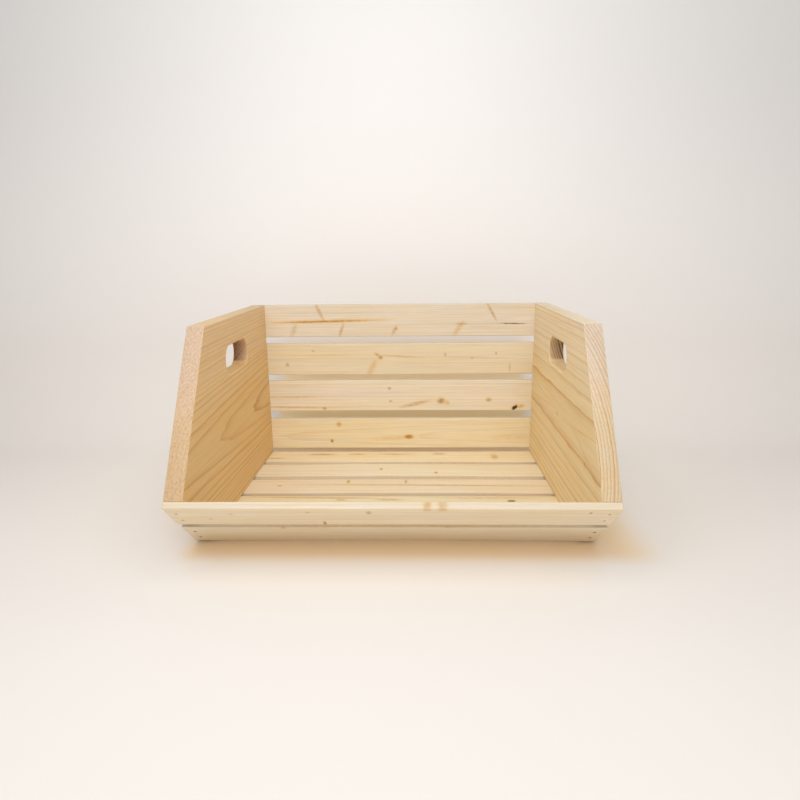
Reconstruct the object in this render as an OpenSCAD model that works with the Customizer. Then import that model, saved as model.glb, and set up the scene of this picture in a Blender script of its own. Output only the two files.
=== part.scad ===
// Kindling box: two thick side panels with hand holes, joined by thin nailed slats.
// A slat run goes down the back, along the floor and up the sloping lower front.
// Frame: +Z up, front towards -Y, origin on the ground at the middle of the box.

/* [Box] */
// Width over the outer faces of the two side panels
box_w = 460; // [380:1:560]
// Thickness of the side panel boards
panel_t = 20; // [14:0.5:30]
// Rake of the panels' upper front edge, from vertical
rake_angle = 33; // [20:0.5:40]
// Slope of the lower front, from horizontal
slope_angle = 43; // [30:1:60]

/* [Slats] */
// Width of a slat
slat_w = 50; // [40:1:64]
// Thickness of a slat
slat_t = 8; // [6:0.5:12]
// Radius of the eased long edges of a slat
edge_r = 1; // [0.6:0.1:2]

/* [Gaps between slats] */
// Gap under the top back slat
back_gap_1 = 10.5; // [6:0.5:16]
// Gap under the second back slat
back_gap_2 = 10; // [6:0.5:16]
// Gap under the third back slat
back_gap_3 = 13; // [6:0.5:18]
// From the lowest back slat down to the bottom edge of the panels
back_foot_gap = 5.5; // [3:0.5:12]
// From the back edge of the panels to the first floor slat
floor_inset = 2.5; // [0:0.5:6]
// Gap in front of the first floor slat
floor_gap_1 = 11.5; // [6:0.5:18]
// Gap in front of the second floor slat
floor_gap_2 = 14; // [6:0.5:18]
// Gap in front of the third floor slat
floor_gap_3 = 10; // [6:0.5:18]
// Gap in front of the fourth floor slat
floor_gap_4 = 8; // [6:0.5:18]
// From the fifth floor slat to the front end of the panels' bottom edge
floor_front_gap = 4; // [0:0.5:6]
// Gap between the two front slats
front_gap = 10; // [4:0.5:14]

/* [Hand holes] */
// Length of a hand hole
hole_l = 96; // [90:1:125]
// Height of a hand hole, whose ends are half circles
hole_h = 36; // [28:1:44]
// From the back edge of a panel to the middle of its hand hole
hole_from_back = 158.5; // [130:0.5:175]
// From the top edge of a panel to the middle of its hand hole
hole_from_top = 52.5; // [44:0.5:70]
// Width of the eased rim of a hand hole
hole_ease = 2; // [0.5:0.1:3]

/* [Nails] */
// Length of a nail, head included
nail_l = 25; // [20:1:32]
// Diameter of a nail's shank
nail_d = 1.5; // [1.2:0.1:1.8]
// Diameter of a nail's head
head_d = 2.4; // [2:0.1:3.2]
// Thickness of a nail's head
head_t = 0.8; // [0.5:0.1:1.2]
// How far a head is sunk under the face of its slat
head_sink = 0.4; // [0.1:0.1:1]
// From the long edge of a slat to its nails
nail_inset = 15; // [10:0.5:18]
// How far the floor nails stand inwards of the others, so that they pass each other
nail_stagger = 4; // [3:0.5:5]
// Radial clearance of a nail in its hole
nail_fit = 0.05; // [0.02:0.01:0.1]

/* [Hidden] */
$fn = 48;

panel_wood = [0.85, 0.68, 0.44];
slat_wood = [0.92, 0.80, 0.60];
steel = [0.45, 0.42, 0.38];
cut = 1;       // how far a cutting shape runs past the face that it cuts
point_l = 2.5; // length of a nail's point

// Total of the first n values of a list.
function total(list, n) = n == 0 ? 0 : list[n - 1] + total(list, n - 1);
// Where each slat of a run starts along its edge: the first one, then one after each gap.
function starts(first, gaps) = [for (i = [0:len(gaps)]) first + i * slat_w + total(gaps, i)];
// Where the last slat of a run ends.
function run_end(starts) = starts[len(starts) - 1] + slat_w;

back_starts = starts(0, [back_gap_1, back_gap_2, back_gap_3]);
floor_starts = starts(floor_inset, [floor_gap_1, floor_gap_2, floor_gap_3, floor_gap_4]);
front_starts = starts(0, [front_gap]);

// The outline of a panel follows from the slats that are nailed round it.
panel_h = run_end(back_starts) + back_foot_gap;
base_d = run_end(floor_starts) + floor_front_gap;
slope_l = run_end(front_starts);
lip_h = slope_l * sin(slope_angle);
lip_d = base_d + slope_l * cos(slope_angle);
top_d = lip_d - (panel_h - lip_h) * tan(rake_angle);

// Corners of a panel as [depth, height], from its lower back corner. The front is negative.
base_back = [0, 0];
top_back = [0, panel_h];
top_front = [-top_d, panel_h];
lip = [-lip_d, lip_h];
base_front = [-base_d, 0];

// An edge of the panel that carries slats: the corner where it starts, and the turn about X
// that lays the local Y along it and points the local Z out of the box.
back_edge = [top_back, -90];
floor_edge = [base_back, 180];
front_edge = [base_front, 180 - slope_angle];

// Nails stand in the middle of a panel's thickness, and the floor nails a little inwards of that.
nail_x = (box_w - panel_t) / 2;
floor_nail_x = nail_x - nail_stagger;

// The box reaches from the outer face of the back slats to the eased corner of the lip.
front_reach = base_d + (slope_l - edge_r) * cos(slope_angle)
    + (slat_t - edge_r) * sin(slope_angle) + edge_r;
mid_depth = (front_reach - slat_t) / 2;

// Stands the panels' lower back corner where it belongs over the origin.
module in_frame() {
    translate([0, mid_depth, slat_t]) children();
}

// Moves children to a place along a slat-carrying edge.
module along(edge, start) {
    translate([0, edge[0][0], edge[0][1]])
        rotate([edge[1], 0, 0])
            translate([0, start, 0]) children();
}

// The four places of a slat's nails: two at each end.
module at_nails(x) {
    for (side = [-1, 1], across = [nail_inset, slat_w - nail_inset])
        translate([side * x, across, 0]) children();
}

// Section of a slat, with its four long edges eased by a true radius.
module slat_section() {
    translate([edge_r, 0]) square([slat_w - 2 * edge_r, slat_t]);
    translate([0, edge_r]) square([slat_w, slat_t - 2 * edge_r]);
    for (a = [edge_r, slat_w - edge_r], b = [edge_r, slat_t - edge_r])
        translate([a, b]) circle(r = edge_r);
}

// A nail, pointing into the box, whose head lies head_sink under the outer face.
module nail() {
    translate([0, 0, slat_t - head_sink]) {
        translate([0, 0, -head_t]) cylinder(d = head_d, h = head_t);
        translate([0, 0, point_l - nail_l]) cylinder(d = nail_d, h = nail_l - point_l - head_t);
        translate([0, 0, -nail_l]) cylinder(d1 = 0, d2 = nail_d, h = point_l);
    }
}

// The room that a nail takes in the wood: shank, and sunk head open to the outside.
module nail_hole() {
    translate([0, 0, slat_t - head_sink - nail_l - nail_fit])
        cylinder(d = nail_d + 2 * nail_fit, h = nail_l);
    translate([0, 0, slat_t - head_sink - head_t])
        cylinder(d = head_d + 2 * nail_fit, h = head_sink + head_t + cut);
}

// A slat across the whole width, seated on the edges of both panels.
module slat(edge, start, x = nail_x) {
    color(slat_wood) in_frame() along(edge, start) difference() {
        rotate([90, 0, 90])
            translate([0, 0, -box_w / 2]) linear_extrude(box_w) slat_section();
        at_nails(x) nail_hole();
    }
}

module slat_nails(edge, start, x = nail_x) {
    color(steel) in_frame() along(edge, start) at_nails(x) nail();
}

// All the nail holes of one run of slats.
module run_holes(edge, starts, x = nail_x) {
    for (start = starts) along(edge, start) at_nails(x) nail_hole();
}

// The two centres of a hand hole's half-round ends.
module hole_ends() {
    for (side = [-1, 1])
        translate([side * (hole_l - hole_h) / 2, 0, 0]) children();
}

// The hand hole through a panel that lies with its faces at z = 0 and z = panel_t.
module hand_hole() {
    straight = hole_l - hole_h;
    translate([0, 0, -cut]) {
        hole_ends() cylinder(d = hole_h, h = panel_t + 2 * cut);
        translate([-straight / 2, -hole_h / 2, 0]) cube([straight, hole_h, panel_t + 2 * cut]);
    }
    for (face = [0, 1]) translate([0, 0, face * panel_t]) mirror([0, 0, face]) hole_rim(straight);
}

// The eased rim of a hand hole on the face at z = 0: cones at the ends, a wedge between them.
module hole_rim(straight) {
    wide = hole_h / 2 + hole_ease;
    hole_ends() cylinder(r1 = wide, r2 = hole_h / 2, h = hole_ease);
    translate([-straight / 2, 0, 0]) rotate([90, 0, 90]) linear_extrude(straight)
        polygon([[-wide, 0], [wide, 0], [hole_h / 2, hole_ease], [-hole_h / 2, hole_ease]]);
}

// The left-hand panel: its outline is cut from one board, with the grain along the depth.
module panel_blank() {
    translate([-box_w / 2, 0, 0]) rotate([90, 0, 90]) difference() {
        linear_extrude(panel_t) polygon([base_back, top_back, top_front, lip, base_front]);
        translate([-hole_from_back, panel_h - hole_from_top, 0]) hand_hole();
    }
}

module side_panel(side) {
    color(panel_wood) in_frame() difference() {
        mirror([side, 0, 0]) panel_blank();
        run_holes(back_edge, back_starts);
        run_holes(floor_edge, floor_starts, floor_nail_x);
        run_holes(front_edge, front_starts);
    }
}

module back_slat(i) slat(back_edge, back_starts[i]);
module floor_slat(i) slat(floor_edge, floor_starts[i], floor_nail_x);
module front_slat(i) slat(front_edge, front_starts[i]);
module back_nails(i) slat_nails(back_edge, back_starts[i]);
module floor_nails(i) slat_nails(floor_edge, floor_starts[i], floor_nail_x);
module front_nails(i) slat_nails(front_edge, front_starts[i]);

side_panel(0);  // left_side_panel
side_panel(1);  // right_side_panel
back_slat(0);  // back_slat_1
back_slat(1);  // back_slat_2
back_slat(2);  // back_slat_3
back_slat(3);  // back_slat_4
floor_slat(0);  // floor_slat_1
floor_slat(1);  // floor_slat_2
floor_slat(2);  // floor_slat_3
floor_slat(3);  // floor_slat_4
floor_slat(4);  // floor_slat_5
front_slat(1);  // front_slat_upper
front_slat(0);  // front_slat_lower
back_nails(0);  // back_slat_1_nails
back_nails(1);  // back_slat_2_nails
back_nails(2);  // back_slat_3_nails
back_nails(3);  // back_slat_4_nails
floor_nails(0);  // floor_slat_1_nails
floor_nails(1);  // floor_slat_2_nails
floor_nails(2);  // floor_slat_3_nails
floor_nails(3);  // floor_slat_4_nails
floor_nails(4);  // floor_slat_5_nails
front_nails(1);  // front_slat_upper_nails
front_nails(0);  // front_slat_lower_nails
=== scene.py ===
# %% [markdown]
# # A kindling box of nailed pine
#
# This lesson dresses a small box for kindling: two thick pine panels with hand holes, joined by
# eleven thin slats that are nailed round their edges. The construction is already settled and
# packed, so the first step only loads it. Everything that follows is placed by measuring it.

# %% Load the construction
import math
from collections import namedtuple

import bmesh
import bpy
from mathutils import Euler, Matrix, Vector
from mathutils.geometry import convex_hull_2d


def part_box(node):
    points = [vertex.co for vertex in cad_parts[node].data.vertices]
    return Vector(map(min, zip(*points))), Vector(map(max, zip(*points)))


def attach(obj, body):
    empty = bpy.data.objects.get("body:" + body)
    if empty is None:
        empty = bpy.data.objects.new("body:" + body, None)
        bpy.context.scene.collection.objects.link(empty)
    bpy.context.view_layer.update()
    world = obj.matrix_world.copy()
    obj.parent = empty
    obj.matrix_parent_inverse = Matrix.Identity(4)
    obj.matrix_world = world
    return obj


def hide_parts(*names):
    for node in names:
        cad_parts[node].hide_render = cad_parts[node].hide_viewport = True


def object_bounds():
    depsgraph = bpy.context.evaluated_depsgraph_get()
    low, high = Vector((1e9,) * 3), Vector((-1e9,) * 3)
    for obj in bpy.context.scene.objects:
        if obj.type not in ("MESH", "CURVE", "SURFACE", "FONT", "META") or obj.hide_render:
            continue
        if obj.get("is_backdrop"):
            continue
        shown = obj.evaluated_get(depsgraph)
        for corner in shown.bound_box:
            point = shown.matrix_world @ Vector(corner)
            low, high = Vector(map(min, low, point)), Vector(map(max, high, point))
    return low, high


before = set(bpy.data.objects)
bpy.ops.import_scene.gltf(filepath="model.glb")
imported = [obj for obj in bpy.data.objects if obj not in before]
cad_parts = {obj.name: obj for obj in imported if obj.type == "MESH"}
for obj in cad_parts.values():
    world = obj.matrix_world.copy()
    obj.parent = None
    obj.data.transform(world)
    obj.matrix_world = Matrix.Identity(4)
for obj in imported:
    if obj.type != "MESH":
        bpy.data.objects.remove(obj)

cad_low, cad_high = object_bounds()
MM = 0.001
print("box of the construction, in mm:", [round(s / MM, 1) for s in cad_high - cad_low])

# %% [markdown]
# ## A board has a frame of its own
#
# Wood has a direction. Its grain runs along the board, its growth rings curve across it, and a
# nail goes in square to its face. So each board gets its own axes: x along the grain, y across
# the face and z out of the box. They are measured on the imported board, whose largest flat face
# gives the direction of z. The same axes later place the board's mesh, its nails and its grain.

# %% Measure every board
Board = namedtuple("Board", "name middle turn length width thick")
LOOKS_OUT = 0.6


def measure_board(node, grain, outward):
    """A board's frame and size, in metres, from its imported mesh."""
    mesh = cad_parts[node].data
    facing = [f for f in mesh.polygons if f.normal.dot(Vector(outward)) > LOOKS_OUT]
    out = max(facing, key=lambda f: f.area).normal.normalized()
    along = Vector(grain)
    across = out.cross(along)
    turn = Matrix((along, across, out)).transposed()
    local = [turn.transposed() @ v.co for v in mesh.vertices]
    low = Vector([min(p[i] for p in local) for i in range(3)])
    high = Vector([max(p[i] for p in local) for i in range(3)])
    return Board(node, turn @ ((low + high) / 2), turn, *(high - low))


SLAT_RUNS = {
    "back_slat": ((0, 1, 0), ["_1", "_2", "_3", "_4"]),
    "floor_slat": ((0, 0, -1), ["_1", "_2", "_3", "_4", "_5"]),
    "front_slat": ((0, -0.7, -0.7), ["_upper", "_lower"]),
}
slats = {
    run + ending: measure_board(run + ending, (1, 0, 0), outward)
    for run, (outward, endings) in SLAT_RUNS.items()
    for ending in endings
}
panels = {
    "left_side_panel": measure_board("left_side_panel", (0, 1, 0), (-1, 0, 0)),
    "right_side_panel": measure_board("right_side_panel", (0, 1, 0), (1, 0, 0)),
}
for board in [*slats.values(), *panels.values()]:
    sizes = [round(s / MM, 1) for s in (board.length, board.width, board.thick)]
    print(f"{board.name}: {sizes[0]} x {sizes[1]} x {sizes[2]} mm")

# %% [markdown]
# ## Arithmetic on shader values
#
# A wood shader is mostly sums: distances, ring counts and masks. Written as node links they are
# hard to read, so a small class wraps an output socket and lets Python's own operators add the
# Math nodes. One more method makes any other node from its type, its settings and its inputs.

# %% Shader values and the node method
class Value:
    """One output of a shader node. Arithmetic on it adds Math nodes to its tree."""

    def __init__(self, paint, socket):
        self.paint = paint
        self.socket = socket

    def math(self, operation, *others):
        inputs = dict(enumerate([self, *others]))
        return self.paint.node("ShaderNodeMath", {"operation": operation}, inputs)

    def __add__(self, other):
        return self.math("ADD", other)

    def __sub__(self, other):
        return self.math("SUBTRACT", other)

    def __rsub__(self, other):
        return self.paint.node("ShaderNodeMath", {"operation": "SUBTRACT"}, {0: other, 1: self})

    def __mul__(self, other):
        return self.math("MULTIPLY", other)

    def __truediv__(self, other):
        return self.math("DIVIDE", other)

    def __pow__(self, other):
        return self.math("POWER", other)


# The places of a Mix node's colour sockets, whose names its other sockets share.
MIX_SHARE, MIX_FIRST, MIX_SECOND = 0, 6, 7
MIX_COLOUR = 2


class Paint:
    """A material under construction, with short ways to add its nodes."""

    def __init__(self, name):
        self.material = bpy.data.materials.new(name)
        self.material.use_nodes = True
        self.tree = self.material.node_tree
        self.tree.nodes.clear()

    def node(self, kind, settings=None, inputs=None, out=0):
        """Adds a node: settings first, then the values or links of its sockets."""
        made = self.tree.nodes.new(kind)
        for name, setting in (settings or {}).items():
            setattr(made, name, setting)
        for name, value in (inputs or {}).items():
            if isinstance(value, Value):
                self.tree.links.new(value.socket, made.inputs[name])
            else:
                made.inputs[name].default_value = value
        return Value(self, made.outputs[out]) if made.outputs else None

    def noise(self, where, scale, detail, roughness, seed, out=0):
        """Smooth noise from 0 to 1, whose seed picks another part of it."""
        settings = {"noise_dimensions": "4D"}
        inputs = {"Vector": where, "W": seed, "Scale": scale, "Detail": detail, "Roughness": roughness}
        return self.node("ShaderNodeTexNoise", settings, inputs, out)

    def between(self, value, low, high, smooth=True):
        """0 up to low, 1 from high on, and an even or eased change between them."""
        kind = "SMOOTHSTEP" if smooth else "LINEAR"
        inputs = {"Value": value, "From Min": low, "From Max": high}
        return self.node("ShaderNodeMapRange", {"interpolation_type": kind}, inputs)

    def stretched(self, where, sizes):
        """Coordinates on which a feature of size 1 becomes sizes long, wide and deep."""
        inputs = {0: where, 1: tuple(1 / s for s in sizes)}
        return self.node("ShaderNodeVectorMath", {"operation": "MULTIPLY"}, inputs)

    def grain(self, point, sizes, detail, roughness, seed, out=0):
        """Noise whose features are sizes long, wide and deep."""
        return self.noise(self.stretched(point, sizes), 1.0, detail, roughness, seed, out)

    def blend(self, share, first, second, how="MIX"):
        """Mixes two colours."""
        settings = {"data_type": "RGBA", "blend_type": how}
        inputs = {MIX_SHARE: share, MIX_FIRST: first, MIX_SECOND: second}
        return self.node("ShaderNodeMix", settings, inputs, MIX_COLOUR)

    def finish(self, **sockets):
        """Ends the tree in a Principled shader."""
        shader = self.node("ShaderNodeBsdfPrincipled", None, sockets)
        self.node("ShaderNodeOutputMaterial", None, {"Surface": shader})
        return self.material


# %% [markdown]
# ## Pine, grown ring by ring
#
# Pine has pale, wide early wood and a thin dark line of late wood in every year ring. A flat
# picture of grain would break at the edges of a board, so the rings are grown in space: the
# shader measures how far each point lies from the pith of the tree, and counts rings. A face
# then shows cathedrals or straight lines, and the sawn ends show arcs, all from one tree. A
# knot is a branch: a dark oval that pushes the rings aside. Each board says where its pith lay
# and which marks it has, in millimetres from its middle. A planed face, a narrow edge and a
# sawn end take the light differently, so the last two have tints of their own.

# %% The marks and the tree of a board
# x and y in mm from the board's middle, size along and across in mm, turn in degrees, then how
# dark it is, its tone, and how much it pushes the grain aside.
Mark = namedtuple("Mark", "x y long wide turn dark tone push", defaults=(0.0,))
# Where the pith lay across and under the face, the width of a year ring, the lean and the arch
# of the log, how dark the late wood is on the faces and on the sawn ends, and between which
# places across the board the wood turns to pale sapwood.
Tree = namedtuple("Tree", "pith ring slope arch contrast ends sap", defaults=(0.0, 0.0, 0.5, 0.4, None))

# %% The colours and the grain of pine
TONES = {
    "amber": (0.62, 0.35, 0.10, 1.0),
    "brown": (0.43, 0.22, 0.06, 1.0),
    "black": (0.05, 0.018, 0.004, 1.0),
}
NAIL_STAIN = (0.15, 0.08, 0.035, 1.0)
STAIN = 0.7
# Tints, by which the wood's own colour is multiplied.
HALO = (1.0, 0.88, 0.62, 1.0)
WARM = (0.98, 0.91, 0.76, 1.0)
SAPWOOD = (1.0, 1.03, 1.20, 1.0)
SAWN_END = (0.84, 0.81, 0.90, 1.0)
NARROW_EDGE = (0.83, 0.85, 0.90, 1.0)
PORES = (0.84, 0.77, 0.62, 1.0)
# Torn end grain on the slot's end walls, with painted shade on top.
TORN_END_AND_PAINTED_SHADE = (0.36, 0.24, 0.13, 1.0)
# Painted shade on every wall of the hand hole.
HOLE_PAINTED_SHADE = (0.90, 0.82, 0.68, 1.0)
# How long, wide and deep the features of the grain are, in mm.
DRIFT = (420, 110, 110)
WAVER = (70, 11, 11)
FIBRE = (34, 1.2, 1.2)
STREAK = (230, 2.4, 2.4)
CLOUD = (130, 24, 24)
PORE = (25, 2.0, 2.0)
FLECK = (6, 2.4, 2.4)
RAGGED = (7, 2.2, 2.2)
# How sharply the late wood darkens through its year, on a face and on a sawn end, and where it stops.
LATE_ON_FACE = 5.5
LATE_ON_END = 2.5
YEAR_ENDS = 0.94
# How far the outline of a mark strays, in mm along the grain and across it.
STRAY = Vector((1.2, 0.65, 0))
# Where a mark and its halo fade, in sizes of the mark, and how deep a mark goes, in mm.
MARK_FADES = (0.4, 1.6)
HALO_FADES = (0.7, 2.4)
RIGHT_THROUGH = 1e5
KNOT_GRIP = 0.35
# Where the stain round a nail and the wall of a hand hole fade, in mm, and from which depth to
# which the slot's end walls darken with torn grain and painted shade, darkest at the outer face.
STAIN_FADES = (0.8, 2.8)
WALL_FADES = (0.5, 3.0)
TORN_AND_SHADED_DEPTH = (-9.0, 8.0)
# The waves of a planer, in mm, and how much they lean.
RIPPLE_PITCH = 3.4
RIPPLE_LEAN = 0.4
# How squarely a surface faces along an axis before it counts as facing that way.
FACES_ALONG = (0.5, 0.75)
RELIEF = 0.4 * MM


# %% Growth rings
def parts_of(paint, vector):
    """The three coordinates of a vector."""
    split = paint.node("ShaderNodeSeparateXYZ", None, {0: vector})
    return [Value(paint, output) for output in split.socket.node.outputs]


def grow_rings(paint, point, tree, seed):
    """How far a point lies through its year ring, from 0 to 1, and a random number per ring."""
    x, y, z = parts_of(paint, point)
    drift = paint.grain(point, DRIFT, 1.0, 0.4, seed)
    waver = paint.grain(point, WAVER, 2.0, 0.5, seed + 3)
    depth = z - tree.pith[1] - x * tree.slope - x * x * tree.arch
    radius = ((y - tree.pith[0]) ** 2.0 + depth * depth) ** 0.5
    radius = radius + (drift - 0.5) * (tree.ring * 0.7) + (waver - 0.5) * (tree.ring * 0.4)
    count = radius / tree.ring
    year = paint.node("ShaderNodeVectorMath", {"operation": "SCALE"}, {0: (1, 0, 0), "Scale": count})
    count = count + (paint.noise(year, 0.33, 1.0, 0.5, seed + 7) - 0.5) * 1.2
    ring = count.math("FLOOR")
    through = count - ring
    luck = paint.node("ShaderNodeTexWhiteNoise", {"noise_dimensions": "1D"}, {"W": ring + seed})
    return through, luck


# %% Knots, streaks and faces
def reach_of_mark(paint, point, mark):
    """How far a point lies from a mark's middle: 1 on the mark's outline."""
    where = {
        "Vector": point,
        "Location": (mark.x, mark.y, 0),
        "Rotation": (0, 0, math.radians(mark.turn)),
        "Scale": (mark.long / 2, mark.wide / 2, RIGHT_THROUGH),
    }
    local = paint.node("ShaderNodeMapping", {"vector_type": "TEXTURE"}, where)
    return paint.node("ShaderNodeVectorMath", {"operation": "LENGTH"}, {0: local}, out=1)


def facing_along(paint, axis):
    """How squarely a surface faces along an axis, either way: 1 if squarely."""
    facing = {0: paint.node("ShaderNodeTexCoord", out="Normal"), 1: axis}
    facing = paint.node("ShaderNodeVectorMath", {"operation": "DOT_PRODUCT"}, facing, out=1)
    return facing.math("ABSOLUTE")


def bend_round_knots(paint, point, marks, reach):
    """Where the grain is read for a point: a knot pushes the rings aside."""
    for mark, far in zip(marks, reach):
        if mark.push:
            near = (far * far * -KNOT_GRIP).math("EXPONENT") * mark.push
            shift = paint.node("ShaderNodeCombineXYZ", None, {"Z": near * mark.long})
            point = paint.node("ShaderNodeVectorMath", {"operation": "ADD"}, {0: point, 1: shift})
    return point


def draw_marks(paint, colour, marks, reach, fleck, sawn):
    """A warm halo round every mark, and the mark itself, which no sawn end shows."""
    glow = 0.0
    for mark, far in zip(marks, reach):
        glow = (1 - paint.between(far, *HALO_FADES)) * (mark.dark * 0.7) + glow
    if marks:
        colour = paint.blend(glow, colour, HALO, "MULTIPLY")
    for mark, far in zip(marks, reach):
        cover = (1 - paint.between(far, *MARK_FADES)) * (1 - sawn) * fleck * mark.dark
        colour = paint.blend(cover, colour, TONES[mark.tone])
    return colour


# %% Nails and hand holes in the wood
def round_nails(paint, x, y, nails):
    """1 close round a board's nails, which stand nails apart, along and across, in mm."""
    aside = (x.math("ABSOLUTE") - nails[0] / 2) ** 2.0 + (y.math("ABSOLUTE") - nails[1] / 2) ** 2.0
    return 1 - paint.between(aside ** 0.5, *STAIN_FADES)


def inside_hole(paint, x, y, hole, flat):
    """1 on the wall of a board's hand hole, whose box is given in mm."""
    middle, half = (hole[0] + hole[1]) / 2, (hole[1] - hole[0]) / 2
    past_x = (x - middle.x).math("ABSOLUTE") - half.x
    past_y = (y - middle.y).math("ABSOLUTE") - half.y
    return (1 - paint.between(past_x.math("MAXIMUM", past_y), *WALL_FADES)) * (1 - flat)


# %% The pine shader
def board_point(paint, board):
    """A point in its board's own frame, in mm."""
    where = {
        "Vector": paint.node("ShaderNodeTexCoord", out="Object"),
        "Location": board.middle,
        "Rotation": board.turn.to_euler(),
        "Scale": (MM, MM, MM),
    }
    return paint.node("ShaderNodeMapping", {"vector_type": "TEXTURE"}, where)


def strayed(paint, point, seed):
    """The point moved a little at random, so that no mark has a drawn outline."""
    stray = {0: paint.grain(point, RAGGED, 2.0, 0.6, seed + 11, "Color"), 1: STRAY * 2, 2: -STRAY}
    stray = paint.node("ShaderNodeVectorMath", {"operation": "MULTIPLY_ADD"}, stray)
    return paint.node("ShaderNodeVectorMath", {"operation": "ADD"}, {0: point, 1: stray})


def pine(name, board, tree, light, dark, marks, seed, nails=None, hole=None,
         end=SAWN_END, ripple=0.0, stain=STAIN):
    """The material of one board, with its nails' places or its hand hole, in its own frame."""
    paint = Paint(name)
    point = board_point(paint, board)
    x, y, z = parts_of(paint, point)
    ragged = strayed(paint, point, seed)
    reach = [reach_of_mark(paint, ragged, mark) for mark in marks]
    through, luck = grow_rings(paint, bend_round_knots(paint, point, marks, reach), tree, seed)
    late = (1 - paint.between(through, YEAR_ENDS, 1.0)) * (luck * 0.8 + 0.55)
    late_on_end = through ** LATE_ON_END * late
    late = through ** LATE_ON_FACE * late

    sawn, narrow, flat = (
        paint.between(facing_along(paint, axis), *FACES_ALONG) for axis in board.turn.col)
    fibre = paint.grain(point, FIBRE, 3.0, 0.6, seed + 17)
    streak = paint.grain(point, STREAK, 3.0, 0.6, seed + 19)
    cloud = paint.grain(point, CLOUD, 2.0, 0.5, seed + 23)
    pores = paint.grain(point, PORE, 2.0, 0.7, seed + 29)
    fleck = paint.grain(point, FLECK, 2.0, 0.6, seed + 31)

    strength = late * (1 - sawn) * tree.contrast + late_on_end * sawn * tree.ends
    if tree.sap:
        sap = paint.between(y, *tree.sap)
        strength = strength * (1 - sap * 0.3)
    colour = paint.blend(strength, (*light, 1), (*dark, 1))
    if tree.sap:
        colour = paint.blend(sap, colour, SAPWOOD, "MULTIPLY")
    warm = paint.between(cloud, 0.35, 0.7) * 0.5 + paint.between(streak, 0.45, 0.75) * 0.5
    colour = paint.blend(warm, colour, WARM, "MULTIPLY")
    shade = fibre * 0.26 + streak * 0.42 + 0.66
    if ripple:
        wave = ((x * RIPPLE_LEAN + y + cloud * 3.0) * (math.tau / RIPPLE_PITCH)).math("SINE")
        shade = shade + wave * paint.between(cloud, 0.3, 0.6) * ripple
    grey = paint.node("ShaderNodeCombineColor", None, {0: shade, 1: shade, 2: shade})
    colour = paint.blend(1.0, colour, grey, "MULTIPLY")
    fleck = paint.between(fleck, 0.3, 0.65) * 0.7 + 0.5
    colour = draw_marks(paint, colour, marks, reach, fleck, sawn)

    pores = paint.between(pores, 0.4, 0.65) * sawn * (1 - tree.ends)
    if hole:
        inside = inside_hole(paint, x, y, hole, flat)
        narrow, pores = narrow * (1 - inside), pores * (1 - inside)
    colour = paint.blend(narrow, colour, NARROW_EDGE, "MULTIPLY")
    colour = paint.blend(sawn, colour, end, "MULTIPLY")
    colour = paint.blend(pores, colour, PORES, "MULTIPLY")
    if nails:
        colour = paint.blend(round_nails(paint, x, y, nails) * stain, colour, NAIL_STAIN)
    if hole:
        # Painted shade on the hand hole's walls, and on its end walls torn grain with more painted
        # shade, darkest near the outer face.
        colour = paint.blend(inside, colour, HOLE_PAINTED_SHADE, "MULTIPLY")
        streaks = late_on_end * tree.ends * 1.6 + 1 - tree.ends * 0.65
        torn_and_shaded = inside * sawn * paint.between(z, *TORN_AND_SHADED_DEPTH, False) * streaks
        colour = paint.blend(torn_and_shaded, colour, TORN_END_AND_PAINTED_SHADE, "MULTIPLY")

    height = fibre * 0.5 + late * 0.5 + streak * 0.3
    bump = {"Height": height, "Strength": 0.25, "Distance": RELIEF}
    return paint.finish(**{
        "Base Color": colour,
        "Roughness": fibre * 0.14 + sawn * 0.15 + 0.52,
        "Normal": paint.node("ShaderNodeBump", None, bump),
        "Specular IOR Level": 0.35,
    })


# %% [markdown]
# ## Eleven sawn slats
#
# Every slat is the same lath, sawn to one width and thickness, so one Geometry Nodes tree makes
# them all: a rounded section swept along the length, its sawn ends eased, four shallow holes
# where the nails are sunk, and a slight bow, because thin pine never stays quite flat.

# %% The slat tree
def new_tree(name, inputs):
    """A Geometry Nodes tree with named inputs, given as name: (type, value)."""
    tree = bpy.data.node_groups.new(name, "GeometryNodeTree")
    for title, (kind, value) in inputs.items():
        socket = tree.interface.new_socket(title, in_out="INPUT", socket_type="NodeSocket" + kind)
        if value is not None:
            socket.default_value = value
    tree.interface.new_socket("Geometry", in_out="OUTPUT", socket_type="NodeSocketGeometry")
    return tree


class Build:
    """Short ways to add nodes to a Geometry Nodes tree."""

    def __init__(self, tree):
        self.tree = tree
        self.given = tree.nodes.new("NodeGroupInput")

    def add(self, kind, settings=None, inputs=None):
        node = self.tree.nodes.new(kind)
        for name, setting in (settings or {}).items():
            setattr(node, name, setting)
        for name, value in (inputs or {}).items():
            if isinstance(value, bpy.types.NodeSocket):
                self.tree.links.new(value, node.inputs[name])
            else:
                node.inputs[name].default_value = value
        return node.outputs

    def math(self, operation, *values):
        return self.add("ShaderNodeMath", {"operation": operation}, dict(enumerate(values)))[0]

    def vector(self, x=0.0, y=0.0, z=0.0):
        return self.add("ShaderNodeCombineXYZ", None, {"X": x, "Y": y, "Z": z})[0]

    def corners(self):
        """The four places of a slat's nails, as the corners of a grid."""
        given = self.given.outputs
        return self.add("GeometryNodeMeshGrid", None, {
            "Size X": given["Nail Spread"], "Size Y": given["Nail Pitch"],
            "Vertices X": 2, "Vertices Y": 2})[0]

    def finish(self, geometry, material):
        real = self.add("GeometryNodeRealizeInstances", None, {"Geometry": geometry})[0]
        dressed = {"Geometry": real, "Material": material}
        dressed = self.add("GeometryNodeSetMaterial", None, dressed)[0]
        self.add("NodeGroupOutput", None, {"Geometry": dressed})


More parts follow.
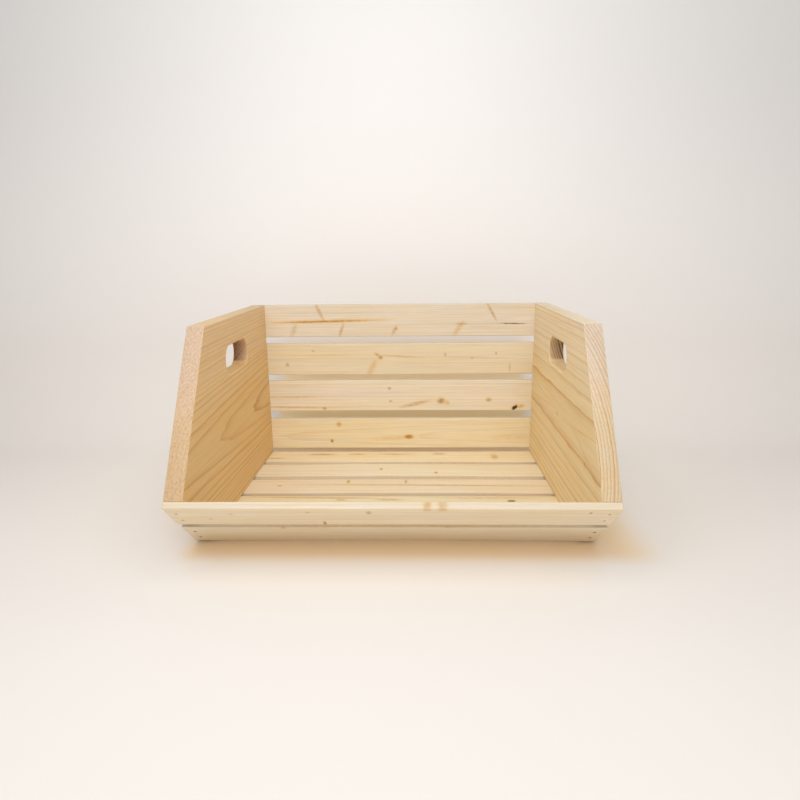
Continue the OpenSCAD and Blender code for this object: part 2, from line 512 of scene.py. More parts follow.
CORNER_STEPS = 4
STATIONS_ALONG = 60
HOLE_SIDES = 20
SQUARE_TO_END = 0.99
slat_tree = new_tree("sawn_slat", {
    "Length": ("Float", 0.46),
    "Width": ("Float", 0.05),
    "Thickness": ("Float", 0.008),
    "Edge Radius": ("Float", 0.001),
    "End Ease": ("Float", 0.0004),
    "Bow": ("Float", 0.001),
    "Crook": ("Float", 0.0),
    "Free Length": ("Float", 0.42),
    "Nail Spread": ("Float", 0.44),
    "Nail Pitch": ("Float", 0.02),
    "Hole Radius": ("Float", 0.00125),
    "Hole Depth": ("Float", 0.0012),
    "Material": ("Material", None),
})
build = Build(slat_tree)
given = build.given.outputs

section = build.add("GeometryNodeCurvePrimitiveQuadrilateral", None,
                    {"Width": given["Width"], "Height": given["Thickness"]})[0]
section = build.add("GeometryNodeFilletCurve", {"mode": "POLY"},
                    {"Curve": section, "Radius": given["Edge Radius"], "Count": CORNER_STEPS})[0]
half = build.math("MULTIPLY", given["Length"], 0.5)
reach = build.math("SUBTRACT", half, given["End Ease"])
back = build.math("MULTIPLY", reach, -1.0)
line = build.add("GeometryNodeCurvePrimitiveLine", None,
                 {"Start": build.vector(back), "End": build.vector(reach)})[0]
line = build.add("GeometryNodeResampleCurve", None, {"Curve": line, "Count": STATIONS_ALONG})[0]
line = build.add("GeometryNodeSetCurveNormal", {"mode": "Z_UP"}, {"Curve": line})[0]
swept = build.add("GeometryNodeCurveToMesh", None,
                  {"Curve": line, "Profile Curve": section, "Fill Caps": True})[0]

normal = build.add("GeometryNodeInputNormal")[0]
normal_x = build.add("ShaderNodeSeparateXYZ", None, {0: normal})[0]
is_end = build.math("GREATER_THAN", build.math("ABSOLUTE", normal_x), SQUARE_TO_END)
ends = build.add("GeometryNodeExtrudeMesh", {"mode": "FACES"},
                 {"Mesh": swept, "Selection": is_end, "Offset Scale": given["End Ease"]})
place = build.add("GeometryNodeInputPosition")[0]
ease = build.math("MULTIPLY", given["End Ease"], 2.0)
shrink = [
    build.math("SUBTRACT", 1.0, build.math("DIVIDE", ease, given[side]))
    for side in ("Width", "Thickness")
]
eased = build.add("ShaderNodeVectorMath", {"operation": "MULTIPLY"},
                  {0: place, 1: build.vector(1.0, *shrink)})[0]
body = build.add("GeometryNodeSetPosition", None,
                 {"Geometry": ends["Mesh"], "Selection": ends["Top"], "Position": eased})[0]

corners = build.corners()
drill = build.add("GeometryNodeMeshCylinder", None, {
    "Vertices": HOLE_SIDES, "Radius": given["Hole Radius"],
    "Depth": build.math("MULTIPLY", given["Hole Depth"], 2.0)})[0]
face = build.math("MULTIPLY", given["Thickness"], 0.5)
drills = build.add("GeometryNodeInstanceOnPoints", None, {"Points": corners, "Instance": drill})[0]
drills = build.add("GeometryNodeTransform", None,
                   {"Geometry": drills, "Translation": build.vector(z=face)})[0]
drills = build.add("GeometryNodeRealizeInstances", None, {"Geometry": drills})[0]
drilled = build.add("GeometryNodeMeshBoolean", {"operation": "DIFFERENCE", "solver": "EXACT"},
                    {"Mesh 1": body, "Mesh 2": drills})["Mesh"]

split = build.add("ShaderNodeSeparateXYZ", None, {0: place})
share = build.math("DIVIDE", split[0], build.math("MULTIPLY", given["Free Length"], 0.5))
share = build.math("MULTIPLY", share, share)
share = build.math("MAXIMUM", build.math("SUBTRACT", 1.0, share), 0.0)
share = build.math("MULTIPLY", share, share)
lift = build.vector(
    y=build.math("MULTIPLY", share, given["Crook"]),
    z=build.math("MULTIPLY", build.math("MULTIPLY", share, given["Bow"]), -1.0))
bowed = build.add("GeometryNodeSetPosition", None, {"Geometry": drilled, "Offset": lift})[0]
build.finish(bowed, given["Material"])
print("slat tree:", len(slat_tree.nodes), "nodes")

# %% [markdown]
# ## From a tree to a plain mesh
#
# A modifier's inputs are known by their sockets' identifiers. They are set before the object is
# first evaluated, and the result is then kept as a plain mesh. Flat faces stay flat-shaded and
# only the rounded corners are shaded smooth, so that no face looks blown up.

# %% Make pieces from trees
def add_object(name, data):
    """A new object in the scene."""
    made = bpy.data.objects.new(name, data)
    bpy.context.scene.collection.objects.link(made)
    return made


def grow(tree, name, values):
    """The plain mesh that a tree makes from these inputs, as an object in the scene."""
    seed = add_object("seed", bpy.data.meshes.new("seed"))
    modifier = seed.modifiers.new("tree", "NODES")
    modifier.node_group = tree
    for socket in tree.interface.items_tree:
        if socket.in_out == "INPUT" and socket.name in values:
            modifier[socket.identifier] = values[socket.name]
    shown = seed.evaluated_get(bpy.context.evaluated_depsgraph_get())
    mesh = bpy.data.meshes.new_from_object(shown)
    bpy.data.objects.remove(seed)
    mesh.name = name
    return add_object(name, mesh)


FLAT = 0.9995


def smooth_corners(mesh):
    """Shades smooth the faces that lie square to none of the mesh's axes."""
    for face in mesh.polygons:
        face.use_smooth = max(abs(side) for side in face.normal) < FLAT


def put_in_place(made, board):
    """Moves a mesh from a board's own frame to where the board is."""
    made.data.transform(Matrix.Translation(board.middle) @ board.turn.to_4x4())


# %% [markdown]
# ## Which tree each slat came from
#
# The boards of one box come from many trees. The top back slat was sawn through the pith, so
# its branches run up and down from a reddish middle line. Others show lone knots, a black dead
# knot, or hardly a mark. These are this box's own marks, measured in millimetres, save one:
# the long amber line on the lower front slat's top edge is painted shade from the slot above it.

# %% The slats' wood
HONEY = (0.57, 0.36, 0.155)
SLAT_WOOD = {
    "back_slat_1": (Tree((1, 3), 3.1, contrast=0.30), (0.72, 0.63, 0.51), [
        Mark(-122, 1, 124, 5.2, -1, 0.55, "amber"),
        Mark(-118, 1, 118, 2.3, -1, 0.9, "brown"),
        Mark(-60, -1, 90, 2.4, -1, 0.3, "amber"),
        Mark(176, 6, 34, 1.8, 1, 0.85, "black"),
        Mark(-125, -15, 26, 5, 64, 0.42, "brown"),
        Mark(-166, 15, 22, 7, 112, 0.25, "brown"),
        Mark(-91, 15, 20, 4.5, 110, 0.45, "brown"),
        Mark(-8, 16, 16, 5, 118, 0.35, "brown"),
        Mark(-5, 13, 5, 4, 0, 0.5, "brown"),
        Mark(91, 15, 24, 6.5, 125, 0.45, "amber"),
        Mark(97, 6, 16, 4, 0, 0.35, "brown"),
        Mark(143, -13, 28, 3.6, 61, 0.55, "brown"),
    ]),
    "back_slat_2": (Tree((-5, 4), 2.4, contrast=0.24), (0.74, 0.64, 0.47), [
        Mark(2, -4, 62, 2.8, 3, 0.5, "amber"),
        Mark(-120, -6, 120, 2.2, 0, 0.28, "amber"),
        Mark(130, -1, 110, 2.2, 2, 0.25, "amber"),
        Mark(-30, -2, 6, 5, 0, 0.75, "brown", 0.15),
        Mark(-36, -7, 8, 4, 30, 0.5, "brown"),
        Mark(-44, 15, 26, 8, 118, 0.42, "amber"),
        Mark(-137, -13, 4, 3, 0, 0.5, "brown"),
        Mark(-179, 9, 5, 5, 0, 0.5, "brown"),
        Mark(72, -6, 4, 6, 0, 0.45, "brown"),
        Mark(115, 0, 5, 3, 0, 0.4, "brown"),
        Mark(152, -8, 3, 4, 0, 0.45, "brown"),
        Mark(174, 14, 3, 12, 0, 0.35, "brown"),
    ]),
    "back_slat_3": (Tree((62, -55), 4.0, contrast=0.34), (0.79, 0.7, 0.56), [
        Mark(-178, 2, 90, 2.6, 0, 0.45, "amber"),
        Mark(-170, 19, 110, 3.0, 1, 0.5, "amber"),
        Mark(-122, 21, 6, 4, 0, 0.6, "brown"),
        Mark(-17, -12, 5, 5, 0, 0.5, "brown"),
        Mark(-15, 9, 5, 3.5, 0, 0.45, "brown"),
        Mark(23, 14, 42, 5.5, -13, 0.5, "brown"),
        Mark(66, 9, 11, 8, -10, 0.8, "brown", 0.2),
        Mark(76, 12, 7, 6, 0, 0.5, "amber"),
        Mark(142, 7, 8, 6, 0, 0.65, "brown", 0.2),
        Mark(184, 20, 9, 5, -40, 1.7, "black", 0.3),
        Mark(194, 18, 9, 5, -20, 0.7, "amber"),
    ]),
    "back_slat_4": (Tree((4, -34), 4.2, 0.02, contrast=0.3), (0.8, 0.69, 0.48), [
        Mark(-100, -15, 7, 7, 30, 0.6, "brown", 0.2),
        Mark(-112, 13, 4.5, 4.5, 0, 1.2, "brown", 0.2),
        Mark(14, 6, 11, 5.5, 3, 1.5, "brown", 0.35),
        Mark(-12, 8, 60, 7, -3, 0.3, "amber"),
        Mark(180, 7, 60, 10, 0, 0.22, "amber"),
    ]),
    "floor_slat_1": (Tree((-50, -45), 4.4, contrast=0.6), (0.89, 0.77, 0.54), [
        Mark(-127, -10, 38, 8, 0, 0.55, "brown"),
        Mark(-70, -11, 26, 6, 0, 0.5, "brown"),
        Mark(-8, -11, 48, 5, 0, 0.55, "brown"),
        Mark(62, -13, 18, 8, 0, 0.5, "brown"),
        Mark(150, 1, 10, 22, 0, 0.45, "brown"),
        Mark(-198, 8, 30, 6, 0, 0.4, "brown"),
    ]),
    "floor_slat_2": (Tree((35, -60), 4.0, contrast=0.24), (0.85, 0.75, 0.56), [
        Mark(-27, -2, 4, 8, 0, 0.8, "brown"),
        Mark(55, 13, 5, 7, 0, 0.75, "brown"),
    ]),
    "floor_slat_3": (Tree((-40, -40), 3.6, contrast=0.3), (0.81, 0.69, 0.51), [
        Mark(-71, -16, 3.5, 12, 0, 0.8, "brown"),
        Mark(11, -16, 3, 12, 0, 0.7, "brown"),
        Mark(30, -3, 340, 3, 0.5, 0.6, "brown"),
        Mark(-166, -1, 6, 5, 0, 0.5, "brown"),
    ]),
    "floor_slat_4": (Tree((50, -60), 3.8, contrast=0.3), (0.8, 0.7, 0.49), [
        Mark(-74, -12, 12, 5, 0, 0.5, "brown"),
        Mark(-105, -19, 150, 4.5, 1, 0.5, "brown"),
        Mark(115, -19, 140, 4, 0, 0.42, "brown"),
        Mark(-10, -13, 34, 5, 0, 0.45, "brown"),
        Mark(150, -9, 9, 6, 0, 0.95, "black"),
    ]),
    "floor_slat_5": (Tree((-30, -70), 4.0, contrast=0.3), (0.8, 0.7, 0.49), [
        Mark(-120, 4, 8, 7, 0, 0.7, "brown", 0.2),
        Mark(64, -10, 6, 6, 0, 0.7, "brown", 0.2),
    ]),
    "front_slat_upper": (Tree((-20, -80), 3.8, contrast=0.16), (0.877, 0.745, 0.551), [
        Mark(-164, 9, 5, 5, 0, 0.3, "brown"),
        Mark(-189, -6, 4, 5, 0, 0.25, "brown"),
        Mark(-84, 15, 5, 5, 0, 0.4, "brown"),
        Mark(-22, 14, 5, 8, 0, 0.6, "brown"),
        Mark(-71, -19, 3, 10, 0, 0.9, "brown"),
        Mark(200, 15, 2.5, 5, 0, 0.7, "brown"),
        Mark(37, 24, 7, 9, -20, 0.5, "amber"),
        Mark(52, 24, 8, 9, -20, 0.5, "amber"),
    ]),
    "front_slat_lower": (Tree((30, -90), 4.2, contrast=0.2), (0.836, 0.735, 0.567), [
        Mark(-119, 23, 5, 4, 0, 0.5, "brown"),
        Mark(60, 24, 7, 3, 0, 0.4, "brown"),
        # Painted shade: a long amber line on the top edge, where the slot between the front slats lies
        # in shade.
        Mark(0, 26, 480, 3, 0, 0.4, "amber"),
    ]),
}

# %% [markdown]
# ## Saw the slats
#
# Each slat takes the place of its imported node. The nails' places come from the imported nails, so
# the shallow holes and the nail heads always agree.

# %% Slats
NAIL_HEAD = 2.4 * MM
NAIL_FIT = 0.05 * MM
HEAD_THICK = 0.8 * MM
HEAD_SINK = 0.4 * MM
EDGE_RADIUS = 1.0 * MM
# How far the middle of a slat bows into the box and how far it crooks across, in mm.
BOWS = {
    "back_slat_2": (0.6, 0.4),
    "back_slat_3": (0.3, -0.5),
    "floor_slat_2": (0.9, 0.5),
    "floor_slat_3": (0.5, -0.6),
    "front_slat_upper": (0.3, 0.0),
    "front_slat_lower": (0.8, 0.7),
}
# How strong the waves of the planer are on the slats that show them.
RIPPLES = {"back_slat_1": 0.012, "back_slat_2": 0.03, "floor_slat_2": 0.015}
# How dark the wood is round the nails, where it isn't as dark as on the other slats.
STAINS = {"front_slat_upper": 0.3}
SLAT_SEED = 10.0
NEXT_SEED = 5
inner_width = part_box("right_side_panel")[0].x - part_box("left_side_panel")[1].x


def nail_places(board):
    """How far apart a slat's nails stand, along it and across it, and how deep they go."""
    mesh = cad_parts[board.name + "_nails"].data
    local = [board.turn.transposed() @ (v.co - board.middle) for v in mesh.vertices]
    spread = max(p.x for p in local) - min(p.x for p in local) - NAIL_HEAD
    pitch = max(p.y for p in local) - min(p.y for p in local) - NAIL_HEAD
    return spread, pitch, min(p.z for p in local)


for number, (name, board) in enumerate(slats.items()):
    tree, light, marks = SLAT_WOOD[name]
    spread, pitch, _ = nail_places(board)
    bow, crook = BOWS.get(name, (0.0, 0.0))
    nails = Vector((spread, pitch)) / MM
    seed = SLAT_SEED + number * NEXT_SEED
    wood = pine(name + "_pine", board, tree, light, HONEY, marks, seed, nails=nails,
                ripple=RIPPLES.get(name, 0.0), stain=STAINS.get(name, STAIN))
    slat = grow(slat_tree, name + "_wood", {
        "Length": board.length,
        "Width": board.width,
        "Thickness": board.thick,
        "Edge Radius": EDGE_RADIUS,
        "Bow": bow * MM,
        "Crook": crook * MM,
        "Free Length": inner_width,
        "Nail Spread": spread,
        "Nail Pitch": pitch,
        "Hole Radius": NAIL_HEAD / 2 + NAIL_FIT,
        "Hole Depth": HEAD_SINK + HEAD_THICK,
        "Material": wood,
    })
    smooth_corners(slat.data)
    put_in_place(slat, board)
    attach(slat, "root")
    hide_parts(name)
    print(f"{name}: nails {spread / MM:.1f} mm apart along, {pitch / MM:.1f} mm across,",
          f"{len(slat.data.polygons)} faces")

# %% [markdown]
# ## Forty-four nails
#
# The nails are small steel brads, driven just under the face. Only their heads show, but each
# is whole, with its shank and point, because every piece is also a mesh of its own. A nail is
# round, so it is stacked from cones, which a union welds into one closed skin. Four stand in
# each slat, so one tree puts a nail on the corners of a grid. The heads in the upper front slat
# are paler than the rest: there, wood dust clings to the steel.

# %% Nail steel
SPOTS_PER_METRE = 1400.0


def nail_steel(name, dark, light, metallic):
    """Spotted steel, from a dark colour to a light one."""
    paint = Paint(name)
    point = paint.node("ShaderNodeTexCoord", out="Object")
    spot = paint.noise(point, SPOTS_PER_METRE, 3.0, 0.6, 2.0)
    colour = paint.blend(paint.between(spot, 0.35, 0.7), (*dark, 1), (*light, 1))
    return paint.finish(**{
        "Base Color": colour,
        "Metallic": metallic,
        "Roughness": spot * 0.3 + 0.4,
    })


# %% The nail tree
NAIL_SIDES = 16
POINT_RADIUS = 0.05 * MM
RIM_SHARE = 0.25
CROWN_SHARE = 0.8
nail_tree = new_tree("nails_of_a_slat", {
    "Nail Spread": ("Float", 0.44),
    "Nail Pitch": ("Float", 0.02),
    "Nail Length": ("Float", 0.025),
    "Point Length": ("Float", 0.0025),
    "Shank Radius": ("Float", 0.00075),
    "Head Radius": ("Float", 0.0012),
    "Head Thickness": ("Float", 0.0008),
    "Head Height": ("Float", 0.0036),
    "Material": ("Material", None),
})
build = Build(nail_tree)
given = build.given.outputs
rim = build.math("MULTIPLY", given["Head Thickness"], RIM_SHARE)
plate = build.math("SUBTRACT", given["Head Thickness"], rim)
crown_radius = build.math("MULTIPLY", given["Head Radius"], CROWN_SHARE)
shank = build.math("SUBTRACT", given["Nail Length"],
                   build.math("ADD", given["Point Length"], given["Head Thickness"]))
# The nail's parts from the head down: how long each is, and its radius at the top and the foot.
stations = [
    (rim, crown_radius, given["Head Radius"]),
    (plate, given["Head Radius"], given["Head Radius"]),
    (shank, given["Shank Radius"], given["Shank Radius"]),
    (given["Point Length"], given["Shank Radius"], POINT_RADIUS),
]
level = given["Head Height"]
welded = build.tree.nodes.new("GeometryNodeMeshBoolean")
welded.operation = "UNION"
welded.solver = "EXACT"
for long, top, foot in stations:
    bottom = build.math("SUBTRACT", level, long)
    cone = {"Vertices": NAIL_SIDES, "Radius Top": top, "Radius Bottom": foot, "Depth": long}
    solid = build.add("GeometryNodeMeshCone", None, cone)["Mesh"]
    solid = build.add("GeometryNodeTransform", None,
                      {"Geometry": solid, "Translation": build.vector(z=bottom)})[0]
    build.tree.links.new(solid, welded.inputs["Mesh 2"])
    level = bottom
nails = build.add("GeometryNodeInstanceOnPoints", None,
                  {"Points": build.corners(), "Instance": welded.outputs["Mesh"]})[0]
build.finish(nails, given["Material"])
print("nail tree:", len(nail_tree.nodes), "nodes")

# %% Nails
bare_steel = nail_steel("nail_steel", (0.10, 0.075, 0.055), (0.30, 0.25, 0.20), 0.7)
dusted_steel = nail_steel("dusted_nail_steel", (0.34, 0.23, 0.13), (0.54, 0.40, 0.25), 0.2)
for name, board in slats.items():
    spread, pitch, deep = nail_places(board)
    head = board.thick / 2 - HEAD_SINK
    group = grow(nail_tree, name + "_brads", {
        "Nail Spread": spread,
        "Nail Pitch": pitch,
        "Nail Length": head - deep,
        "Head Radius": NAIL_HEAD / 2,
        "Head Thickness": HEAD_THICK,
        "Head Height": head,
        "Material": dusted_steel if name == "front_slat_upper" else bare_steel,
    })
    put_in_place(group, board)
    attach(group, "root")
    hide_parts(name + "_nails")
print("nails:", 4 * len(slats))

# %% [markdown]
# ## The side panels
#
# A panel is one wide flat-sawn board, cut to five sides, with a rounded slot for the hand. The
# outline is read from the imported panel. A saw leaves sharp edges and a hand takes them off, so
# the edges get a small bevel and the rim of the slot a rounder one.

# %% Panel outline
SAME_PLACE = 0.01 * MM
LEAST_TURN = 0.01
HOLE_INSET = 15 * MM


def panel_outline(board):
    """The corners of a panel's outline, in its own frame, and the box of its hand hole."""
    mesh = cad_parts[board.name].data
    local = [board.turn.transposed() @ (v.co - board.middle) for v in mesh.vertices]
    top = board.thick / 2 - SAME_PLACE
    face = {(round(p.x, 5), round(p.y, 5)) for p in local if p.z > top}
    face = [Vector(p) for p in face]
    corners = [face[i] for i in convex_hull_2d(face)]
    turns = [
        (here - corners[i - 1]).normalized().cross((corners[(i + 1) % len(corners)] - here).normalized())
        for i, here in enumerate(corners)
    ]
    corners = [corner for corner, turn in zip(corners, turns) if abs(turn) > LEAST_TURN]
    edges = [(corners[i - 1], (corners[i] - corners[i - 1]).normalized()) for i in range(len(corners))]
    inside = [p for p in face if min(abs(edge.cross(p - start)) for start, edge in edges) > HOLE_INSET]
    low = Vector((min(p.x for p in inside), min(p.y for p in inside)))
    high = Vector((max(p.x for p in inside), max(p.y for p in inside)))
    return corners, low, high


# %% Panel shapes
RIM_EASE = 2.0 * MM
RIM_RADIUS = 2.0 * MM
RIM_STEPS = 6
SLOT_STEPS = 14
CUTTER_PAST = 1 * MM
PANEL_EASE = 0.6 * MM


def prism(name, rings):
    """A closed solid through rings of points, all with as many points."""
    mesh = bmesh.new()
    loops = [[mesh.verts.new(p) for p in ring] for ring in rings]
    for lower, upper in zip(loops, loops[1:]):
        for i in range(len(lower)):
            mesh.faces.new((lower[i - 1], lower[i], upper[i], upper[i - 1]))
    mesh.faces.new(list(reversed(loops[0])))
    mesh.faces.new(loops[-1])
    bmesh.ops.recalc_face_normals(mesh, faces=mesh.faces)
    made = add_object(name, bpy.data.meshes.new(name))
    mesh.to_mesh(made.data)
    mesh.free()
    return made


def slot_ring(low, high, grow_by, height):
    """A slot with half-round ends, grown by an amount, at one height."""
    radius = (high.y - low.y) / 2
    middle = (low + high) / 2
    straight = (high.x - low.x) / 2 - radius
    ring = []
    for side, start in ((1, -90), (-1, 90)):
        for step in range(SLOT_STEPS + 1):
            turn = math.radians(start + 180 * step / SLOT_STEPS)
            ring.append(Vector((
                middle.x + side * straight + (radius + grow_by) * math.cos(turn),
                middle.y + (radius + grow_by) * math.sin(turn),
                height)))
    return ring


def make_panel(board, wood):
    """Bevels a panel's outline, then cuts its hand hole with a rounded rim."""
    corners, low, high = panel_outline(board)
    low += Vector((RIM_EASE, RIM_EASE))
    high -= Vector((RIM_EASE, RIM_EASE))
    half = board.thick / 2
    panel = prism(board.name + "_wood", [[c.to_3d() + Vector((0, 0, z)) for c in corners]
                                         for z in (-half, half)])
    levels = [(RIM_RADIUS, -half - CUTTER_PAST)]
    for step in range(RIM_STEPS + 1):
        turn = math.radians(90 * step / RIM_STEPS)
        grown = RIM_RADIUS * (1 - math.sin(turn))
        levels.append((grown, RIM_RADIUS * (1 - math.cos(turn)) - half))
    levels += [(grown, -height) for grown, height in reversed(levels)]
    cutter = prism("cutter", [slot_ring(low, high, grown, height) for grown, height in levels])
    bevel = panel.modifiers.new("bevel", "BEVEL")
    bevel.width = PANEL_EASE
    bevel.segments = 2
    bevel.limit_method = "NONE"
    cut = panel.modifiers.new("cut", "BOOLEAN")
    cut.object = cutter
    cut.solver = "EXACT"
    shown = panel.evaluated_get(bpy.context.evaluated_depsgraph_get())
    mesh = bpy.data.meshes.new_from_object(shown)
    bpy.data.objects.remove(cutter)
    panel.modifiers.clear()
    panel.data = mesh
    panel.data.materials.clear()
    panel.data.materials.append(wood)
    hole = [round(s / MM, 1) for s in high - low]
    print(f"{board.name}: {len(corners)} corners, hand hole {hole[0]} x {hole[1]} mm,",
          f"{len(mesh.polygons)} faces")
    return panel


# %% [markdown]
# ## Two wide boards
#
# The left panel shows a broad cathedral, and the right one long faint streaks that run out from
# a small knot. Both are sapwood on one side. Their front edges were sawn at a slant to the grain:
# short, open pores on the left, long stripes on the right. Where the slot cuts across the grain,
# the wood is torn. Painted shade darkens the slot's walls, most at its ends near the outer face.

# %% The panels' wood
PANEL_SEED = 80.0
PANEL_WOOD = {
    "left_side_panel": (
        Tree((19.5, -99.3), 3.8, 0.0206, 0.0, 0.85, 0.25, (-5, -75)),
        (0.785, 0.555, 0.272), (0.54, 0.25, 0.05), (0.83, 0.855, 1.13, 1.0), []),
    "right_side_panel": (
        Tree((-2.5, -211), 3.5, 0.0, 0.0, 0.85, 0.95, (20, 90)),
        (0.885, 0.73, 0.45), (0.62, 0.31, 0.065), (0.78, 0.76, 0.84, 1.0), [
            Mark(107, 0, 138, 2.0, 5, 0.24, "amber"),
            Mark(107, -12, 138, 2.0, -5, 0.24, "amber"),
            Mark(-100, 0, 94, 2.2, -6, 0.3, "amber"),
            Mark(-100, -15, 94, 2.2, 14, 0.3, "amber"),
            Mark(15, -9, 9, 3, 20, 0.6, "amber"),
            Mark(-123, -30, 7, 6, 0, 0.35, "brown"),
        ]),
}
for number, (name, board) in enumerate(panels.items()):
    tree, light, dark, end, marks = PANEL_WOOD[name]
    _, low, high = panel_outline(board)
    seed = PANEL_SEED + number * NEXT_SEED
    hole = (low / MM, high / MM)
    wood = pine(name + "_pine", board, tree, light, dark, marks, seed, hole=hole, end=end)
    panel = make_panel(board, wood)
    smooth_corners(panel.data)
    put_in_place(panel, board)
    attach(panel, "root")
    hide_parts(name)

# %% [markdown]
# ## The studio
#
# The box stands on a pale paper sweep that rises close behind it, so no corner shows, and the
# gaps between the back slats show paper in the box's own shade. Pine throws a warm light on
# what is near it, more of it than the render's few bounces carry, so the paper itself is painted
# with the box's shadow and its warm light in front of the box, under it and behind it, and with
# painted shade that darkens it high up. The paper is solid from its front only: seen from
# behind or from below it lets the view and the light through. Under the floor slats it is cut
# out. There the two would lie in one plane, and the paper would hide the slats from below.

# %% Paper
# The paper's colour by height: warmer low down, and darker high up as painted shade, where less lamp
# light falls.
PAPER_LOW = (0.872, 0.832, 0.79, 1)
PAPER_MIDDLE = (0.885, 0.86, 0.84, 1)
PAPER_HIGH_PAINTED_SHADE = (0.80, 0.785, 0.78, 1)
# Painted shadow of the box, warm with its light, on the paper in front of it and under it.
PAPER_PAINTED_SHADOW_IN_FRONT = (0.87, 0.69, 0.475, 1)
PAPER_PAINTED_SHADE_UNDER = (0.98, 0.70, 0.40, 1)
# Painted shadow on the paper seen through the back slats' gaps, from the lowest gap upwards.
PAPER_PAINTED_SHADOW_BEHIND = [(0.84, 0.65, 0.43, 1), (1.0, 0.84, 0.49, 1), (0.87, 0.66, 0.49, 1)]


def paper():
    """Pale paper with painted shadow and warm light near the box, clear from its back."""
    paint = Paint("paper")
    x, y, z = parts_of(paint, paint.node("ShaderNodeTexCoord", out="Object"))
    aside = x.math("ABSOLUTE")
    past = paint.between(y, 0.19, 0.21)
    # Masks of the painted shadow: in front of the box, under it and behind it.
    painted_shadow_in_front = paint.between(x, -0.25, -0.22) * (1 - paint.between(x, 0.25, 0.305))
    painted_shadow_in_front = painted_shadow_in_front * paint.between(y, -0.172, -0.135) * (1 - past)
    under = (1 - paint.between(aside, 0.20, 0.22)) * paint.between(y, -0.115, -0.105) * (1 - past)
    behind = (1 - paint.between(aside, 0.21, 0.235)) * past * (1 - paint.between(z, 0.14, 0.175))

    lowest, middle, highest = PAPER_PAINTED_SHADOW_BEHIND
    glow = paint.blend(paint.between(z, 0.07, 0.13), middle, highest)
    glow = paint.blend(paint.between(z, 0.02, 0.06), lowest, glow)
    shade = paint.blend(paint.between(z, 0.05, 0.25), PAPER_LOW, PAPER_MIDDLE)
    # Painted shade: the paper darkens high up.
    shade = paint.blend(paint.between(z, 0.3, 0.65), shade, PAPER_HIGH_PAINTED_SHADE)
    # Painted shadow and its warm light, laid over the paper round the box.
    shade = paint.blend(painted_shadow_in_front, shade, PAPER_PAINTED_SHADOW_IN_FRONT)
    shade = paint.blend(under, shade, PAPER_PAINTED_SHADE_UNDER)
    shade = paint.blend(behind, shade, glow)

    solid = paint.node("ShaderNodeBsdfPrincipled", None, {"Base Color": shade, "Roughness": 0.85})
    clear = paint.node("ShaderNodeBsdfTransparent")
    from_back = paint.node("ShaderNodeNewGeometry", out="Backfacing")
    seen = paint.node("ShaderNodeMixShader", None, {0: from_back, 1: solid, 2: clear})
    paint.node("ShaderNodeOutputMaterial", None, {"Surface": seen})
    return paint.material


# %% Paper sweep
SWEEP_WIDTH = 9.0
SWEEP_FRONT = -5.0
SWEEP_BACK = 0.20
SWEEP_RADIUS = 0.16
SWEEP_STEPS = 24
SWEEP_HEIGHT = 2.5
STAND_INSET = 1.5 * MM
floor_slats = [board for name, board in slats.items() if name.startswith("floor_slat")]
stands = sorted(
    (board.middle.y - board.width / 2 + STAND_INSET, board.middle.y + board.width / 2 - STAND_INSET)
    for board in floor_slats)
stand_reach = floor_slats[0].length / 2 - STAND_INSET
line = [(SWEEP_FRONT, 0.0)]
line += [(y, 0.0) for stand in stands for y in stand]
for step in range(SWEEP_STEPS + 1):
    turn = math.radians(90 * step / SWEEP_STEPS)
    line.append((SWEEP_BACK + SWEEP_RADIUS * math.sin(turn), SWEEP_RADIUS * (1 - math.cos(turn))))
line.append((SWEEP_BACK + SWEEP_RADIUS, SWEEP_HEIGHT))

columns = (-SWEEP_WIDTH / 2, -stand_reach, stand_reach, SWEEP_WIDTH / 2)
across = len(columns)
cut_out = {(2 * number + 1, 1) for number in range(len(stands))}
faces = []
for row in range(len(line) - 1):
    for side in range(across - 1):
        corner = across * row + side
        if (row, side) not in cut_out:
            faces.append((corner, corner + 1, corner + across + 1, corner + across))
sweep_mesh = bpy.data.meshes.new("paper_sweep")
sweep_mesh.from_pydata([(x, y, z) for y, z in line for x in columns], [], faces)
for face in sweep_mesh.polygons:
    face.use_smooth = True
sweep_mesh.materials.append(paper())
sweep = add_object("paper_sweep", sweep_mesh)
sweep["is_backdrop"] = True
print("paper sweep:", len(faces), "faces, cut out under", len(stands), "floor slats")

# %% [markdown]
# ## Light
#
# The real box was lit softly, mostly from the front and above. Six square white lamps stand in
# for that light. Test renders with one lamp on at a time showed what each adds to the boards
# and the paper, and their powers were then solved so that the sum has the real shades. A pale
# room fills the shadows. Where a view looks past the paper, it sees one plain shade instead.

# %% Lights
Lamp = namedtuple("Lamp", "name place aim size watts")
LAMPS = [
    Lamp("front_high", (0, -1.03, 1.33), (0, 0, 0.1), 0.6, 5.2),
    Lamp("front_low", (0.1, -1.2, 0.75), (0, 0.2, 0.15), 0.6, 5.1),
    Lamp("overhead", (0, -0.3, 1.2), (0, 0.1, 0.1), 0.6, 0.53),
    Lamp("backdrop", (0, -0.1, 0.7), (0, 0.36, 0.25), 0.3, 0.56),
    Lamp("left", (-0.35, -0.35, 0.7), (0, 0.1, 0.1), 0.4, 0.98),
    Lamp("right", (0.35, -0.35, 0.7), (0, 0.1, 0.1), 0.4, 0.3),
]
for lamp in LAMPS:
    light = bpy.data.lights.new(lamp.name, "AREA")
    light.size = lamp.size
    light.energy = lamp.watts
    made = add_object(lamp.name, light)
    made.location = lamp.place
    facing = Vector(lamp.aim) - Vector(lamp.place)
    made.rotation_euler = facing.to_track_quat("-Z", "Y").to_euler()
print("lamps:", len(LAMPS), "of", round(sum(lamp.watts for lamp in LAMPS), 1), "W in all")

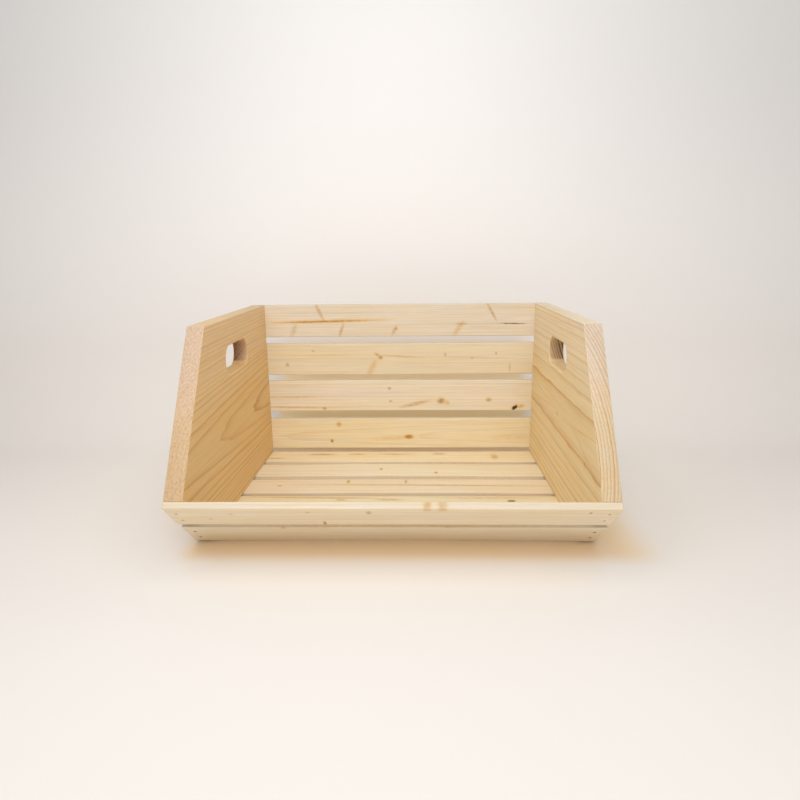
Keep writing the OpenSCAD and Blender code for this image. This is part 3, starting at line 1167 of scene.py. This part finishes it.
# %% Room light
ROOM_LIGHT = (1.0, 0.975, 0.945, 1)
ROOM_STRENGTH = 0.382
PAST_THE_PAPER = (0.78, 0.74, 0.69, 1)


def room_light():
    """Soft light from all round, which a view that looks past the paper doesn't show."""
    world = bpy.data.worlds.new("room_light")
    world.use_nodes = True
    nodes, links = world.node_tree.nodes, world.node_tree.links
    fill = nodes["Background"]
    fill.inputs["Color"].default_value = ROOM_LIGHT
    fill.inputs["Strength"].default_value = ROOM_STRENGTH
    seen = nodes.new("ShaderNodeBackground")
    seen.inputs["Color"].default_value = PAST_THE_PAPER
    pick = nodes.new("ShaderNodeMixShader")
    links.new(nodes.new("ShaderNodeLightPath").outputs["Is Camera Ray"], pick.inputs[0])
    links.new(fill.outputs[0], pick.inputs[1])
    links.new(seen.outputs[0], pick.inputs[2])
    links.new(pick.outputs[0], nodes["World Output"].inputs["Surface"])
    return world


bpy.context.scene.world = room_light()
bpy.context.scene.view_settings.view_transform = "Standard"

# %% [markdown]
# ## The camera
#
# The camera stands in front, a little above the box and a little to its right, and looks down
# on it. Its place and lens come from the box's own corners in the photograph.

# %% Camera
CAMERA_PLACE = Vector((26.5, -749.7, 325.0)) * MM
LOOK_DOWN = math.radians(13.81)
LOOK_LEFT = math.radians(1.62)
TILT = math.radians(-0.60)
LENS = 27.04
SENSOR_WIDTH = 36
camera = add_object("camera", bpy.data.cameras.new("camera"))
camera.data.lens = LENS
camera.data.sensor_width = SENSOR_WIDTH
camera.data.clip_start = 10 * MM
aim = Euler((math.pi / 2 - LOOK_DOWN, 0, LOOK_LEFT)).to_matrix() @ Matrix.Rotation(TILT, 3, "Z")
camera.matrix_world = Matrix.Translation(CAMERA_PLACE) @ aim.to_4x4()
bpy.context.scene.camera = camera
print("camera:", round(CAMERA_PLACE.length / MM), "mm from the middle of the box's foot")

# %% [markdown]
# ## The size
#
# The dressed box has to fill the same space as its construction, so both boxes are kept in one
# table before the last call.

# %% Size
low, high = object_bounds()
sizes = {"cad": [list(cad_low), list(cad_high)], "visual": [list(low), list(high)]}
print("dressed box, in mm:", [round(s / MM, 1) for s in high - low])
